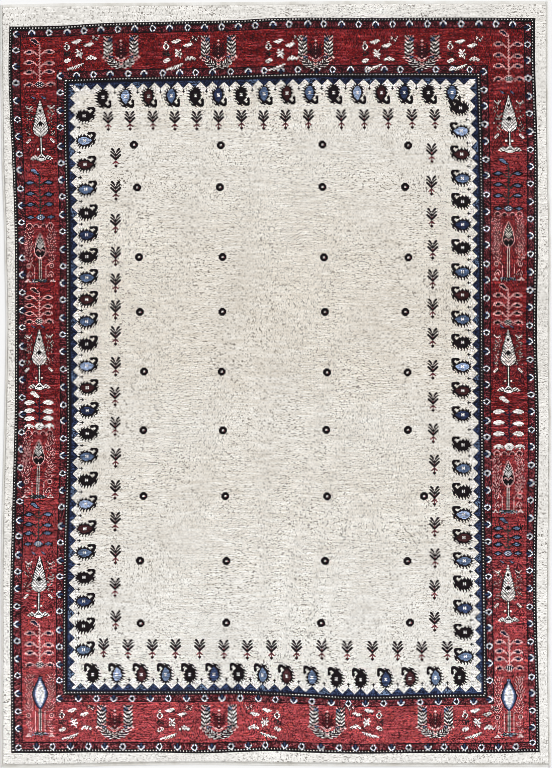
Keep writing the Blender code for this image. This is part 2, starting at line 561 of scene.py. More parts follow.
# %% Knot the plants and rosettes
PLANT = (
    ".KK.....KK.",
    ".KKK...KKK.",
    "..KKY.YKK..",
    "KK.KK.KK.KK",
    ".KKYK.KYKK.",
    "..KKYKYKK..",
    "KK.KKKKK.KK",
    "KKKYKKKYKKK",
    ".KKKYKYKKK.",
    "..KKKSKKK..",
    "...KKKKK...",
    "....KKK....",
    ".....K.....",
    "....SKS....",
    "...SKSKS...",
    "..KS.M.SK..",
    ".....M.....",
    "....KMK....",
    "....KKK....",
    ".....K.....",
)
ROSETTE = (
    "..KKKK..",
    ".KKKKKK.",
    "KKKKKKKK",
    "KKKYWKKK",
    "KKKWYSKK",
    "KKKKKKKK",
    ".KKKKKK.",
    "..KKKK..",
)
PLANT_LINES = {"left": 115, "right": 432, "far": 120, "near": 650}
LINE_LEAN = {"left": 0, "right": 4, "far": -4, "near": 4}
LEAN_SPAN = 550

for side, places in PLANT_PLACES.items():
    for place in spread(places):
        line = PLANT_LINES[side] + LINE_LEAN[side] * (place / LEAN_SPAN - 0.5)
        spot = (line, place) if side in ("left", "right") else (place, line)
        stamp_at(PLANT, *spot)
for name in ("first", "second", "third", "fourth"):
    for column, row in zip(ROSETTES[name], ROSETTES["row"]):
        stamp_at(ROSETTE, column, row)
print("rosettes", 4 * len(ROSETTES["row"]))

# %% [markdown]
# ## The main border's trees
#
# Cypresses and leafy shrubs take turns up both sides. A cypress is a drop that is pointed
# at the top: its half width at each row follows a sine curve. Its body, outline and
# speckles are set by yarn letters, so one function makes the white, the dark and the blue
# ones.

# %% Knot a cypress
FOOT = (
    "..........WWW..........",
    "....WW..KWWKWWK..WW....",
    "..WWKWWKWWK.KWWKWWKWW..",
    ".WKWWKWWWKKKKKWWWKWWKW.",
    "WWKKWWKWKWWWWWKWKWWKKWW",
    "..W.KKKWWWWWWWWWKKK.W..",
    ".......KKWWWWWKK.......",
)
WHITE_CYPRESS = (
    "W", "WK", "WK", "WWK", "WKK", "KWK", "WWK", "WWWK", "WKWK", "KKWK", "KKWWK", "KWWKK",
    "WWKWK", "WKWWK", "KWWKWK", "WWKWWK", "WKWWKK", "SWWKWWK", "SWKWWKK", "WWWWKWK",
    "KWWKWWK", "KKWWWKK", "KKKWKWWK", "KKKKWWKK", "KKWKWKWK", "WKWWKWWK", "WWWKWWKWK",
    "KWKWWKWWK", "WKWWKWWWK", "KWWKWWWKK", "WWKWWWKWK", "WKWWWKWK", "KWWWKWWK",
    "WWWKWWK", "WWKWWK", "WKWK", "KK",
)
DARK_CYPRESS = (
    "P", "KP", "KP", "KKP", "WKP", "KKKP", "WKKP", "KKWKP", "KWKKP", "WKKWP", "KKWKKP",
    "KWKKWP", "WKWKKP", "KWKWKP", "WKWKKP", "KWKKKKP", "WKKKKKP", "KKPPKKP", "KPKKPKP",
    "PKKKKKP", "KKKKKKP", "KKKKKP", "KKKKKP", "WKKKP", "PKKP", "WPP", "PP",
)
BLUE_CYPRESS = (
    "K", "KK", "KLK", "KDK", "LDK", "LDKK", "WLDK", "WLDKK", "WWLDK", "WWLDDK", "LWWLDK",
    "WWWLDDK", "WWWWLDK", "LWWWLDDK", "WWWWLDDK", "WLWWWLDK", "WWWWWLDDK", "LWWWWLDDK",
    "WWWWWLDDK", "WLWWWLDDK", "WWWWWLDDK", "LWWWWLDDK", "WWWWWLDK", "WLWWLDDK", "WWWWLDDK",
    "LWWWLDK", "WWWLDDK", "WLWLDK", "WWLDDK", "LWLDK", "WLDDK", "LDDK", "DDK", "DK", "K",
)


def cypress(column, top, half_rows):
    """A drop-shaped tree, charted as half rows that start at its middle."""
    for down, letters in enumerate(half_rows):
        for offset, letter in enumerate(letters):
            chart[top + down, column + offset] = YARN[letter]
            chart[top + down, column - offset] = YARN[letter]


def stem(column, rows, letter):
    """A trunk one knot wide."""
    chart[rows[0]:rows[1] + 1, column] = YARN[letter]


# %% [markdown]
# Beside each tree the weaver filled the red ground with pale filigree: wavy garlands, small
# arches and rings. They are knotted by rules with a little chance in them, as she did.

# %% Knot the filigree
RING = (".PPP.", "PMKMP", "PKPKP", "PMKMP", ".PPP.")
ARCH = ("..PPP..", ".PMKMP.", "PMK.KMP", "P.K.K.P")
SPRIG = ("...WW.", "..WSWK", ".WSWK.", "WWWK..", ".WK...")
HILLOCK = ("...P...", "..PWP..", ".PWPWP.", "PWPPPWP")
HOOK = ("...PP..", "..PMMP.", ".PM..MP", ".PMPP.P", "PMPMPM.", "PPM.PP.")


def vine(column, rows, light, dark, reach, sway, share):
    """An upright vine: a stem with slanting leaves on both sides."""
    for row in range(rows[0], rows[1] + 1):
        centre = column + int(round(sway * math.sin(row * 0.45)))
        for offset in range(-reach, reach + 1):
            leaf = (row + abs(offset)) % 3
            letter = light if leaf == 0 else dark
            if offset == 0:
                letter = light if row % 2 else dark
            if dice.random() < (share if leaf == 0 else share * 0.6):
                chart[row, centre + offset] = YARN[letter]


def filigree(column, top, bottom):
    """Vines, arches, rings and hooks round a dark cypress."""
    for way in (-1, 1):
        vine(column + way * 11, (top + 2, bottom - 22), "P", "M", 3, 1.0, 0.9)
        vine(column + way * 15, (top + 5, bottom - 24), "P", "S", 1, 0.6, 0.7)
        stamp(ARCH, column + way * 4, top + 1)
        stamp(ARCH, column + way * 11, top)
        stamp(RING, column + way * 12, bottom - 18)
        stem(column + way * 6, (bottom - 17, bottom - 3), "P")
        for step in range(4):
            chart[bottom - 18 - step, column + way * (7 + step)] = YARN["P"]
        stamp(HOOK, column + way * 11, bottom - 9)
        stamp(HILLOCK, column + way * 13, bottom - 3)
    scatter((top + 3, bottom), (column - 16, column + 16), "M", 0.10)
    fill((bottom - 4, bottom - 2), (column - 7, column + 7), "E")
    scatter((bottom - 4, bottom - 1), (column - 9, column + 9), "KYG", 0.45)


# %% [markdown]
# A shrub has a thin stem, three pairs of lens-shaped leaves, one more leaf that leans over
# at its top, and a flower with two leaves at its foot.

# %% Knot a shrub
LEAF = (
    "...OOOOO......",
    ".OOOFFFOOO....",
    "OOFFFFFFFOO...",
    "OOOFFFFOOOSS..",
    "..OOOOO....SS.",
    "............SS",
)
TOP_LEAF = (
    ".OOOO......",
    "OFFFFO.....",
    "OFFFFFO....",
    ".OOFFFFO...",
    "...OFFFOO..",
    "....OOFFFO.",
    "......OOOS.",
    ".........S.",
)
FOOT_FLOWER = (
    "...OOOOO...",
    "..OFFWFFO..",
    ".OFWFKFWFO.",
    "OFFFKWKFFFO",
    ".OFWFKFWFO.",
    "..OFFWFFO..",
    "...OOOOO...",
)
SIDE_LEAF = (
    "...OOOO...",
    ".OOOFFOOO.",
    "OOFFFFFFOO",
    ".OKKFFKOO.",
    "O...OO...O",
)
LEAF_LEVELS = (0.27, 0.48, 0.68)


def shrub(column, top, bottom, outline, leaf, trunk):
    """A leafy shrub between two rows, with its leaves spread over its height."""
    yarns = {"O": outline, "F": leaf, "S": trunk}
    height = bottom - top
    stem(column, (top + 6, bottom - 7), trunk)
    chart[top + 9:bottom - 8:3, column - 1] = YARN[trunk]
    chart[top + 10:bottom - 8:3, column + 1] = YARN[trunk]
    stamp(TOP_LEAF, column - 4, top + 4, yarns)
    for level, share in enumerate(LEAF_LEVELS):
        row = int(round(top + share * height))
        stamp(LEAF, column - 8, row + 1, yarns)
        stamp(turned(LEAF, 0, True), column + 8, row + 1 + (level == 1), yarns)
    stamp(FOOT_FLOWER, column, bottom - 4, yarns)
    stamp(SIDE_LEAF, column - 10, bottom - 4, yarns)
    stamp(turned(SIDE_LEAF, 0, True), column + 11, bottom - 4, yarns)


# %% [markdown]
# Two tables give the order of the trees up the left and the right side, each with the rows
# where it begins and ends on the real rug.

# %% Knot the two side columns
BORDER_TREES = {
    "left": (
        ("pale shrub", 38, 88), ("white cypress", 101, 161), ("dusk shrub", 168, 221),
        ("dark cypress", 225, 283), ("rose shrub", 287, 325), ("white cypress", 330, 390),
        ("white shrub", 391, 430), ("dark cypress", 432, 499), ("dusk shrub", 502, 547),
        ("white cypress", 556, 618), ("pale shrub", 620, 668), ("blue cypress", 672, 738),
    ),
    "right": (
        ("pale shrub", 30, 82), ("white cypress", 95, 153), ("dusk shrub", 158, 212),
        ("dark cypress", 213, 281), ("rose shrub", 283, 326), ("white cypress", 330, 393),
        ("white shrub", 396, 450), ("dark cypress", 452, 514), ("dusk shrub", 517, 557),
        ("white cypress", 565, 623), ("pale shrub", 630, 672), ("blue cypress", 675, 739),
    ),
}
TREE_COLUMN = {"left": 39, "right": 508}
SHRUB_YARNS = {
    "pale shrub": ("P", "N", "P"), "dusk shrub": ("K", "G", "E"),
    "rose shrub": ("P", "K", "P"), "white shrub": ("W", "W", "N"),
}


def dark_cypress(column, top, bottom):
    """A dark cypress on a striped trunk, in pale filigree."""
    filigree(column, top, bottom)
    for way in (-1, 1):
        stem(column + way, (top + 33, bottom - 5), "Y")
    chart[top + 34:bottom - 5:2, column] = YARN["K"]
    cypress(column, top + 8, DARK_CYPRESS)


def blue_cypress(column, top, bottom):
    """A blue cypress with a pale middle, between vines, on a small mound."""
    for way in (-1, 1):
        vine(column + way * 11, (top + 2, bottom - 28), "P", "M", 4, 1.0, 0.85)
        stamp(RING, column + way * 12, bottom - 23)
        stem(column + way * 5, (bottom - 27, bottom - 8), "P")
        vine(column + way * 11, (bottom - 19, bottom - 5), "P", "S", 2, 1.6, 0.8)
        stem(column + way, (bottom - 30, bottom - 8), "Y")
        stamp(HILLOCK, column + way * 12, bottom - 3)
    chart[bottom - 30:bottom - 7, column] = YARN["K"]
    fill((bottom - 6, bottom - 4), (column - 6, column + 6), "E")
    scatter((bottom - 6, bottom - 3), (column - 8, column + 8), "KYG", 0.5)
    cypress(column, top + 3, BLUE_CYPRESS)


def white_cypress(column, top, bottom):
    """A white cypress on a thin trunk, with sprigs beside it and a spreading foot."""
    scatter((top - 2, bottom - 6), (column - 16, column + 16), "MMK", 0.22)
    for way in (-1, 1):
        vine(column + way * 11, (top + 5, top + 35), "Y", "K", 3, 1.2, 0.42)
        stamp(("G.....", "KGG...", ".KGGK.", "...KK."), column + way * 5, top - 3)
        stamp(("W.....W", ".W...W.", "..WWW.."), column + way * 11, top + 6)
        stamp(turned(SPRIG, 0, way > 0), column + way * 12, top + 40)
        stamp(("WW", "WW"), column + way * 3, bottom - 12)
        vine(column + way * 12, (top + 46, bottom - 8), "M", "K", 2, 1.0, 0.4)
    for way in (-1, 1):
        stem(column + way, (top + 36, bottom - 6), "K")
    stem(column, (top + 35, bottom - 5), "W")
    stamp(FOOT, column, bottom - 4)
    cypress(column, top, WHITE_CYPRESS)


CYPRESSES = {
    "white cypress": white_cypress,
    "dark cypress": dark_cypress,
    "blue cypress": blue_cypress,
}


def tree(kind, column, top, bottom):
    """Knot one tree of the border between two rows of the ideal chart."""
    if kind in SHRUB_YARNS:
        shrub(column, top, bottom, *SHRUB_YARNS[kind])
    else:
        CYPRESSES[kind](column, top, bottom)


for side, trees in BORDER_TREES.items():
    for kind, top, bottom in trees:
        middle, first = knot_under(TREE_COLUMN[side], top)
        last = knot_under(TREE_COLUMN[side], bottom)[1]
        tree(kind, middle, first, last)
print("trees", sum(len(trees) for trees in BORDER_TREES.values()))

# %% [markdown]
# ## Wreaths and birds of the two ends
#
# Across the ends, horseshoe wreaths of pale leaves stand round a small dark tree, with
# flocks of tiny white birds and beasts between them.

# %% Knot a wreath
CANDELABRA = (
    "........P........",
    ".......PWP.......",
    "........P........",
    "..K....KMK....K..",
    "...K..K.P.K..K...",
    ".K.KM.KPSPK.MK.K.",
    "..KMK..KPK..KMK..",
    "...MK.KMKMK.KM...",
    "K..KM.MK.KM.MK..K",
    ".K.KMKMKPKMKMK.K.",
    "..KMKMKKMKKMKMK..",
    "...KMKMKKKMKMK...",
    "K.K.KMMKPKMMK.K.K",
    ".KMKKMKMKMKMKKMK.",
    "..MKMKMKKKMKMKM..",
    "...KMKMMKMMKMK...",
    "....KMKMPMKMK....",
    "..P..KMKPKMK..P..",
    "...P.PKKMKKP.P...",
    "....PWPKMKPWP....",
    ".....PSPSPSP.....",
    "......PSOSP......",
    ".......POP.......",
)
WREATH_RADIUS = 13.0
WREATH_BEND = 2
WREATH_SQUASH = 1.16
WREATH_ROWS = range(-17, 19)
WREATH_COLUMNS = range(-19, 20)
LEAF_REACH = 4.8
LEAF_PITCH = 4
OUTER_LEAVES = "WYWPY"
INNER_LEAVES = "YWYGP"


def wreath(column, row):
    """A horseshoe of slanting leaves, open at the top, round a small tree."""
    for down in WREATH_ROWS:
        for offset in WREATH_COLUMNS:
            side = abs(offset)
            if down < WREATH_BEND:
                distance, along = side - WREATH_RADIUS, float(-down)
            else:
                below = (down - WREATH_BEND) * WREATH_SQUASH
                distance = math.hypot(side, below) - WREATH_RADIUS
                along = -WREATH_BEND - WREATH_RADIUS * math.atan2(below, max(side, 0.1))
            if abs(distance) > LEAF_REACH - (down + offset) % 2 * 0.6:
                continue
            leaf = (along - abs(distance)) % LEAF_PITCH
            pick = int(along // LEAF_PITCH) % len(OUTER_LEAVES)
            if abs(distance) < 0.6:
                letter = "K" if leaf < 2 else "Y"
            elif leaf < 1.7:
                letter = OUTER_LEAVES[pick] if distance > 0 else INNER_LEAVES[pick]
            elif leaf < 3.2 or dice.random() < 0.5:
                letter = "K"
            else:
                letter = "M"
            chart[row + down, column + offset] = YARN[letter]
    for way in (-1, 1):
        stamp((".P.", "PWP", ".P."), column + way * 18, row + 5)
    stamp(CANDELABRA, column, row - 2)


WREATHS = {"far": ((120.5, 217.5, 315, 421.5), 52), "near": ((114.8, 218, 326.5, 435), 722)}
for columns, row in WREATHS.values():
    for place in columns:
        wreath(*knot_under(place, row))
print("wreaths", sum(len(columns) for columns, _ in WREATHS.values()))

# %% [markdown]
# The birds and beasts are small enough to chart one by one. One list says where each
# stands in a flock, and the flocks of the near end turn the other way here and there, as
# the weaver's do.

# %% Knot the flocks of white birds and beasts
BIRD = (
    ".....WWWW.",
    "..WWWWWWWW",
    "WWWWWWWWK.",
    ".WWWWWWK..",
    "..K.WK....",
)
BEAST = (
    "....WW.....",
    "..WWWWWW...",
    ".WWWWWWWWW.",
    "WWWWWWWWWWW",
    "WWK.WWK.WWK",
    ".K...K...K.",
)
STAR = (
    ".WW...W.",
    ".WWW.WW.",
    "..WWWWK.",
    "WWWWWW..",
    ".WWWWWWW",
    "..WWWWWW",
    ".WWWWWK.",
    ".WW.WWW.",
    "..K..WW.",
    "......W.",
)
CALF = (
    "...WWW.",
    ".WWWWWW",
    "WWWWWWW",
    "WWWWWW.",
    ".WWWK..",
    "..K....",
)
SERPENT = (
    "..............WWW.",
    "...........WWWWK..",
    "........WWWWWKWK..",
    ".....W.WWWWKWK....",
    "..WWWWWWKWKW......",
    "WWWWWKWKW.........",
    "WW.K.W............",
)
TWIG = (
    "..W.K...W",
    "K..WK.K..",
    ".KW.KKEW.",
    "..EK.W.K.",
    ".K..EKW..",
    "W..K..KK.",
)
BLOOM = (
    "..WW..",
    ".W....",
    "..WW..",
    ".WKKW.",
    "WWKKWW",
    "WK..KW",
    "WWKKWW",
    ".WKKW.",
    "..WW..",
)
FLOCK = (
    (BIRD, -2, -12), (BIRD, 10, -8), (STAR, 0, 1), (BEAST, 12, 6),
    (CALF, -12, 8), (SERPENT, -3, 14), (BLOOM, -12, -8), (TWIG, 16, -14),
)
FLOCKS = {
    "far": ((79, 178, 280, 377, 462), 53),
    "near": ((74, 172, 265, 367, 477), 722),
}
MIRRORED_FLOCKS = {"far": (), "near": (2, 3)}
for end, (columns, row) in FLOCKS.items():
    for number, place in enumerate(columns):
        column, middle = knot_under(place, row)
        way = -1 if number in MIRRORED_FLOCKS[end] else 1
        for motif, aside, down in FLOCK:
            stamp(turned(motif, 0, way < 0), column + way * aside, middle + down)
        patch = column - 12 * way
        scatter((middle - 2, middle + 2), (patch - 3, patch + 3), "EKK", 0.6)
        scatter((middle - 8, middle + 10), (column - 16, column + 16), "M", 0.14)
print("flocks", sum(len(columns) for columns, _ in FLOCKS.values()))

# %% [markdown]
# ## From chart to mesh
#
# An image texture would be the usual way to put the chart on the rug. Here the mesh itself
# carries it. Each face covers a block of four by four knots. A yarn's number takes four
# bits, so four layers of sixteen bits hold a block, and each layer fits exactly in one
# number that is stored on the face. The material later takes the bits apart again.

# %% Pack the chart into four numbers for each block of knots
BLOCK = 4
LAYERS = 4


def packed_layers(knots):
    """One array of block numbers for each bit of the yarn's number."""
    blocks = knots.reshape(ROWS // BLOCK, BLOCK, COLUMNS // BLOCK, BLOCK)
    place = np.arange(BLOCK)[:, None] * BLOCK + np.arange(BLOCK)[None, :]
    weights = (2 ** place).reshape(1, BLOCK, 1, BLOCK)
    return [(((blocks >> layer) & 1) * weights).sum(axis=(1, 3)) for layer in range(LAYERS)]


layers = packed_layers(chart.astype(np.int64))
print("blocks", layers[0].shape, "largest number", max(int(layer.max()) for layer in layers))

# %% [markdown]
# ## The pile
#
# The pile is a grid with one cell for each block of knots, and finer cells at its rim, where
# the wool leans out and rounds off. The grid primitive gives the cells. Their corners are
# then moved to where those knots lie, and an extrusion down to the foundation closes it.

# %% A grid whose corners lie on chosen knots
CLOSEST_STATIONS = 0.12
UV_INSET = 0.9995
SHARP_ANGLE = math.radians(50)


def stations(low, high, rim):
    """Multiples of a block between two limits, with rim points inside each limit."""
    middle = list(range(math.ceil((low + 0.1) / BLOCK) * BLOCK, int(high) + 1, BLOCK))
    near = [low + offset for offset in rim] + [high - offset for offset in rim]
    kept = [place for place in near if min(abs(place - other) for other in middle) > CLOSEST_STATIONS]
    return np.array(sorted(set(middle + kept)))


def deselect_all():
    """Leave Edit Mode and select nothing."""
    if bpy.context.mode != "OBJECT":
        bpy.ops.object.mode_set(mode="OBJECT")
    bpy.ops.object.select_all(action="DESELECT")


def knot_grid(name, columns, rows, height):
    """A grid with its corners at the given columns and rows, and a UV map that counts knots."""
    deselect_all()
    bpy.ops.mesh.primitive_grid_add(
        x_subdivisions=len(columns) - 1, y_subdivisions=len(rows) - 1, size=2, calc_uvs=False)
    grid = bpy.context.active_object
    grid.name = name
    mesh = grid.data
    mesh.name = name
    corners = np.empty(len(mesh.vertices) * 3)
    mesh.vertices.foreach_get("co", corners)
    corners = corners.reshape(-1, 3)
    across = columns[np.round((corners[:, 0] + 1) / 2 * (len(columns) - 1)).astype(int)]
    along = rows[np.round((1 - corners[:, 1]) / 2 * (len(rows) - 1)).astype(int)]
    corners[:, 0], corners[:, 1] = to_metres(*strayed(across, along))
    corners[:, 2] = height(across, along)
    mesh.vertices.foreach_set("co", corners.ravel())
    vertex = np.empty(len(mesh.loops), dtype=int)
    mesh.loops.foreach_get("vertex_index", vertex)
    place = np.stack([across[vertex], along[vertex]], axis=1).reshape(-1, 4, 2)
    centre = place.mean(axis=1, keepdims=True)
    inset = centre + (place - centre) * UV_INSET
    mesh.uv_layers.new(name="knots").uv.foreach_set("vector", inset.astype(np.float32).ravel())
    mesh.update()
    return grid


def close_down_to(piece, floor):
    """Extrude a sheet down and flatten what was extruded at a height, so that the piece is closed."""
    deselect_all()
    bpy.context.view_layer.objects.active = piece
    piece.select_set(True)
    bpy.ops.object.mode_set(mode="EDIT")
    bpy.ops.mesh.select_all(action="SELECT")
    bpy.ops.mesh.extrude_region_move(TRANSFORM_OT_translate={"value": (0, 0, -PILE_TOP)})
    bpy.ops.transform.resize(value=(1, 1, 0), center_override=(0, 0, floor))
    bpy.ops.mesh.select_all(action="SELECT")
    bpy.ops.mesh.normals_make_consistent(inside=False)
    bpy.ops.object.mode_set(mode="OBJECT")
    bpy.ops.object.shade_smooth_by_angle(angle=SHARP_ANGLE)


def store_chart(piece):
    """Write each face's block of knots on it, as one number for each layer."""
    mesh = piece.data
    uv = np.empty(len(mesh.loops) * 2, dtype=np.float32)
    mesh.uv_layers["knots"].uv.foreach_get("vector", uv)
    uv = uv.reshape(-1, 2)
    starts = np.empty(len(mesh.polygons), dtype=int)
    totals = np.empty(len(mesh.polygons), dtype=int)
    mesh.polygons.foreach_get("loop_start", starts)
    mesh.polygons.foreach_get("loop_total", totals)
    centres = np.add.reduceat(uv, starts, axis=0) / totals[:, None]
    column = np.clip(centres[:, 0] // BLOCK, 0, COLUMNS // BLOCK - 1).astype(int)
    row = np.clip(centres[:, 1] // BLOCK, 0, ROWS // BLOCK - 1).astype(int)
    for number, layer in enumerate(layers):
        attribute = mesh.attributes.new(f"yarn_bit_{number}", "FLOAT", "FACE")
        attribute.data.foreach_set("value", layer[row, column].astype(np.float32))


# %% Make the pile
PILE_BASE = 0.0032
PILE_SINK = 0.0006
RIM_POINTS = 5
RIM_ANGLES = np.linspace(0, math.pi / 2, RIM_POINTS)
RIM = [PILE_ROUNDING / KNOT * (1 - math.cos(angle)) for angle in RIM_ANGLES]


def waviness(across, along):
    """Slow rise and fall of the pile in metres, from treading and from uneven shearing."""
    x = across * KNOT
    y = along * KNOT
    slow = np.sin(7.1 * x + 1.3 * np.sin(3.7 * y)) * np.cos(5.3 * y + 0.9 * np.sin(4.1 * x))
    ribs = np.sin(31 * y + 2.2 * np.sin(6.3 * x)) * 0.5 + np.sin(53 * y - 1.7 * np.sin(9 * x)) * 0.3
    return 0.00035 * slow + 0.00018 * ribs


def pile_height(across, along):
    """Height of the pile, rounded off all round its rim."""
    inset = np.minimum.reduce(
        [across - CLOTH_LEFT, CLOTH_RIGHT - across, along - PILE_FAR, PILE_NEAR - along])
    drop = np.clip(PILE_ROUNDING - inset * KNOT, 0, PILE_ROUNDING)
    rounded = PILE_TOP - PILE_ROUNDING + np.sqrt(PILE_ROUNDING**2 - drop**2)
    return rounded - PILE_SINK + waviness(across, along)


pile_columns = stations(CLOTH_LEFT, CLOTH_RIGHT, RIM)
pile_rows = stations(PILE_FAR, PILE_NEAR, RIM)
pile = knot_grid("wool_pile", pile_columns, pile_rows, pile_height)
close_down_to(pile, PILE_BASE)
store_chart(pile)
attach(pile, "root")
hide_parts("knotted_rug")
print("pile faces", len(pile.data.polygons))

# %% [markdown]
# ## The foundation
#
# Warps and wefts run through under the pile. On the rug's back every knot shows as a small
# bump of its own yarn, so the back has the same design, finer and flatter. It is a thin
# sheet that lies on the floor.

# %% Make the foundation
FOUNDATION_TOP = 0.0030
FOUNDATION_INSET = 0.3


def foundation_height(across, along):
    """One height for the whole foundation."""
    return np.full_like(across, FOUNDATION_TOP)


foundation_columns = stations(CLOTH_LEFT, CLOTH_RIGHT, [0.0])
foundation_rows = stations(PILE_FAR + FOUNDATION_INSET, PILE_NEAR - FOUNDATION_INSET, [0.0])
foundation = knot_grid("woven_foundation", foundation_columns, foundation_rows, foundation_height)
close_down_to(foundation, 0.0)
store_chart(foundation)
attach(foundation, "root")
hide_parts("knotted_rug")
print("foundation faces", len(foundation.data.polygons))

# %% [markdown]
# ## Materials: reading the chart back
#
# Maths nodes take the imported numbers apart. The whole parts of the UV map say which knot of
# the block a point lies in; dividing by a power of two and taking the remainder gives its
# bit. Four bits make the yarn's number, which two stepped colour ramps turn into the deep
# and the pale lot.

# %% Node helpers
class Nodes:
    """Adds nodes to one material in few words."""

    def __init__(self, name, roughness, sheen):
        self.material = bpy.data.materials.new(name)
        self.material.use_nodes = True
        self.tree = self.material.node_tree
        self.shader = self.tree.nodes["Principled BSDF"]
        self.shader.inputs["Roughness"].default_value = roughness
        self.shader.inputs["Sheen Weight"].default_value = sheen
        self.shader.inputs["Sheen Roughness"].default_value = 0.6
        self.shader.inputs["Specular IOR Level"].default_value = 0.15

    def add(self, kind, **settings):
        """A new node with some of its settings."""
        node = self.tree.nodes.new(kind)
        for key, value in settings.items():
            setattr(node, key, value)
        return node

    def feed(self, socket, value):
        """Link a socket, or set it to a plain value."""
        if isinstance(value, bpy.types.NodeSocket):
            self.tree.links.new(value, socket)
        else:
            socket.default_value = value

    def maths(self, operation, *values, clamp=False):
        """The result of one Math node."""
        node = self.add("ShaderNodeMath", operation=operation, use_clamp=clamp)
        for socket, value in zip(node.inputs, values):
            self.feed(socket, value)
        return node.outputs[0]

    def point(self, x, y, z=0.0):
        """A vector of three values."""
        node = self.add("ShaderNodeCombineXYZ")
        for socket, value in zip(node.inputs, (x, y, z)):
            self.feed(socket, value)
        return node.outputs[0]

    def noise(self, place, scale, detail=2.0, roughness=0.5):
        """Smooth noise in two dimensions, of 0 to 1."""
        node = self.add("ShaderNodeTexNoise", noise_dimensions="2D")
        self.feed(node.inputs["Vector"], place)
        node.inputs["Scale"].default_value = scale
        node.inputs["Detail"].default_value = detail
        node.inputs["Roughness"].default_value = roughness
        return node.outputs["Fac"]

    def white(self, place):
        """One random value of 0 to 1 for each whole place."""
        node = self.add("ShaderNodeTexWhiteNoise", noise_dimensions="2D")
        self.feed(node.inputs["Vector"], place)
        return node.outputs["Value"]

    def ramp(self, value, stops, stepped=False):
        """A colour ramp, stepped or smooth."""
        node = self.add("ShaderNodeValToRGB")
        node.color_ramp.interpolation = "CONSTANT" if stepped else "LINEAR"
        elements = node.color_ramp.elements
        while len(elements) < len(stops):
            elements.new(1.0)
        for element, (place, colour) in zip(elements, stops):
            element.position = place
            element.color = (*colour, 1.0)
        self.feed(node.inputs["Fac"], value)
        return node.outputs["Color"]

    def mix(self, share, first, second, blend="MIX"):
        """Two colours mixed."""
        node = self.add("ShaderNodeMix", data_type="RGBA", blend_type=blend)
        self.feed(node.inputs["Factor"], share)
        self.feed(node.inputs["A"], first)
        self.feed(node.inputs["B"], second)
        return node.outputs["Result"]

    def scaled(self, colour, factor):
        """A colour made brighter or darker."""
        node = self.add("ShaderNodeVectorMath", operation="SCALE")
        self.feed(node.inputs[0], colour)
        self.feed(node.inputs["Scale"], factor)
        return node.outputs[0]

    def range(self, value, low, high):
        """A value of 0 to 1 spread between two limits."""
        return self.maths("MULTIPLY_ADD", value, high - low, low)

    def bump(self, height, distance, strength):
        """Let a height tilt the shader's normal."""
        node = self.add("ShaderNodeBump")
        node.inputs["Strength"].default_value = strength
        node.inputs["Distance"].default_value = distance
        self.feed(node.inputs["Height"], height)
        self.tree.links.new(node.outputs["Normal"], self.shader.inputs["Normal"])


# %% [markdown]
# The pale and deep dye lots come and go from the near end to the far one. A ramp over the
# rows holds these bands, and noise that is stretched along each row frays their edges.
# Single knots differ a little too, and here and there grey-brown wool shows in the cream.

# %% The knotted wool material
DYE_BANDS = (
    (0.00, 0.00), (0.08, 0.02), (0.15, 0.12), (0.21, 0.30), (0.28, 0.20), (0.36, 0.08), (0.50, 0.10),
    (0.58, 0.28), (0.65, 0.42), (0.74, 0.60), (0.84, 0.72), (0.92, 0.85), (1.00, 0.90),
)
CREAM_BANDS = (
    (0.00, 0.40), (0.12, 0.45), (0.20, 0.55), (0.27, 0.40), (0.38, 0.25), (0.48, 0.30),
    (0.55, 0.55), (0.62, 0.42), (0.72, 0.60), (0.80, 0.80), (0.90, 0.85), (1.00, 0.85),
)
FLECK = (84, 74, 64)
ROW_APART = 3.71
STREAK_SCALE = 0.045
DASH_SCALE = 0.36
DASH_EDGE = 0.575
CLOUD_SCALE = 0.018
FIBRE_SCALE = 9.0
PILE_RELIEF = 0.0010
FRAY = 0.04
LOT_SPREAD = 1.7
KNOT_CONTRAST = {"cream": 0.25, "colours": 0.70}
STREAK_CONTRAST = {"cream": 0.4, "colours": 1.9}


def greys(stops):
    """Stops of a ramp in grey, from places and values."""
    return [(place, (value, value, value)) for place, value in stops]


def yarn_stops(lot):
    """Stops of a stepped ramp with one step for each yarn of a lot."""
    count = len(YARNS["letter"])
    return [(number / count, linear(colour)) for number, colour in enumerate(YARNS[lot])]


def cream_or_colours(wool, cream, values):
    """One value for cream knots and another for all others."""
    return wool.maths("MULTIPLY_ADD", cream, values["cream"] - values["colours"], values["colours"])


def yarn_number(wool, column, row):
    """The number of the yarn of the knot at a column and row, plus a half."""
    place = wool.maths(
        "MULTIPLY_ADD", wool.maths("MODULO", row, float(BLOCK)), float(BLOCK),
        wool.maths("MODULO", column, float(BLOCK)))
    power = wool.maths("POWER", 2.0, place)
    number = 0.5
    for layer in range(LAYERS):
        packed = wool.add("ShaderNodeAttribute", attribute_name=f"yarn_bit_{layer}").outputs["Fac"]
        shifted = wool.maths("DIVIDE", wool.maths("ADD", packed, 0.5), power)
        bit = wool.maths("MODULO", wool.maths("FLOOR", shifted), 2.0)
        number = wool.maths("MULTIPLY_ADD", bit, float(2**layer), number)
    return number


